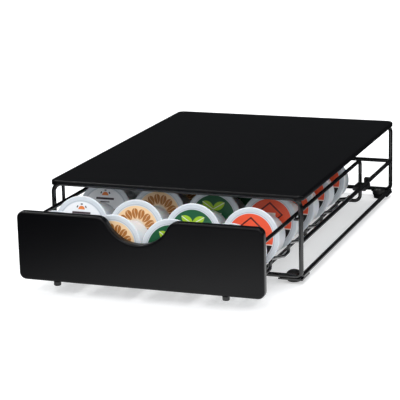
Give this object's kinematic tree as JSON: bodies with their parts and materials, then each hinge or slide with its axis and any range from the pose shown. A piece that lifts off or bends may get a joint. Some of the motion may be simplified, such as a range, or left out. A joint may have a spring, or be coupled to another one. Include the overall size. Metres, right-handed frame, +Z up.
{
  "type": "coffee pod drawer",
  "caption": "Wire-frame drawer for coffee pods: a steel top plate on a wire frame, and a wire drawer with a scooped front panel that slides out on side rails.",
  "frame": {"origin": "on the surface that the feet stand on, under the middle of the whole object's box with the drawer pulled out to its rest position", "axes": "+X to the right as seen from the front, +Y from the front panel to the rear, +Z up"},
  "size_m": [0.2332, 0.4046, 0.078],
  "materials": {
    "sheet_black": "satin powder coat",
    "wire_black": "gloss powder coat",
    "rubber_black": "matt rubber",
    "nylon_black": "satin nylon",
    "cup_white": "smooth white plastic",
    "lid_white": "printed foil, white",
    "lid_cream": "printed foil, cream and brown",
    "lid_green": "printed foil, dark green",
    "lid_orange": "printed foil, orange-red"
  },
  "bodies": {
    "frame": {"top_plate": "sheet_black", "front_loop": "wire_black", "rear_loop": "wire_black", "bottom_rail_left": "wire_black", "bottom_rail_right": "wire_black", "slide_rail_left": "wire_black", "slide_rail_right": "wire_black", "rear_crosswire": "wire_black", "gusset_front_left": "wire_black", "gusset_front_right": "wire_black", "gusset_rear_left": "wire_black", "gusset_rear_right": "wire_black", "rubber_foot_front_left": "rubber_black", "rubber_foot_front_right": "rubber_black", "rubber_foot_rear_left": "rubber_black", "rubber_foot_rear_right": "rubber_black", "rail_hanger_left": "wire_black", "rail_hanger_right": "wire_black"},
    "drawer": {"front_panel": "sheet_black", "stop_bumper_left": "rubber_black", "stop_bumper_right": "rubber_black", "drawer_top_rail_left": "wire_black", "drawer_top_rail_right": "wire_black", "drawer_rear_hoop": "wire_black", "floor_side_wire_left": "wire_black", "floor_side_wire_right": "wire_black", "rear_glide_left": "nylon_black", "rear_glide_right": "nylon_black", "floor_crosswire_1": "wire_black", "floor_crosswire_2": "wire_black", "floor_crosswire_3": "wire_black", "floor_crosswire_4": "wire_black", "floor_crosswire_5": "wire_black", "floor_crosswire_6": "wire_black", "floor_crosswire_7": "wire_black", "wave_wire_1": "wire_black", "wave_wire_2": "wire_black", "wave_wire_3": "wire_black", "wave_wire_4": "wire_black", "wave_wire_5": "wire_black", "wave_wire_6": "wire_black", "wave_wire_7": "wire_black", "wave_wire_8": "wire_black", "pod_cups_a": "cup_white", "pod_cups_b": "cup_white", "pod_cups_c": "cup_white", "pod_cups_d": "cup_white", "pod_lids_a": "lid_white", "pod_lids_b": "lid_cream", "pod_lids_c": "lid_green", "pod_lids_d": "lid_orange"}
  },
  "joints": [
    {"name": "drawer_slide", "type": "slide", "parent": "frame", "child": "drawer", "axis": [0, -1, 0], "range_m": [-0.076, 0.205]}
  ]
}
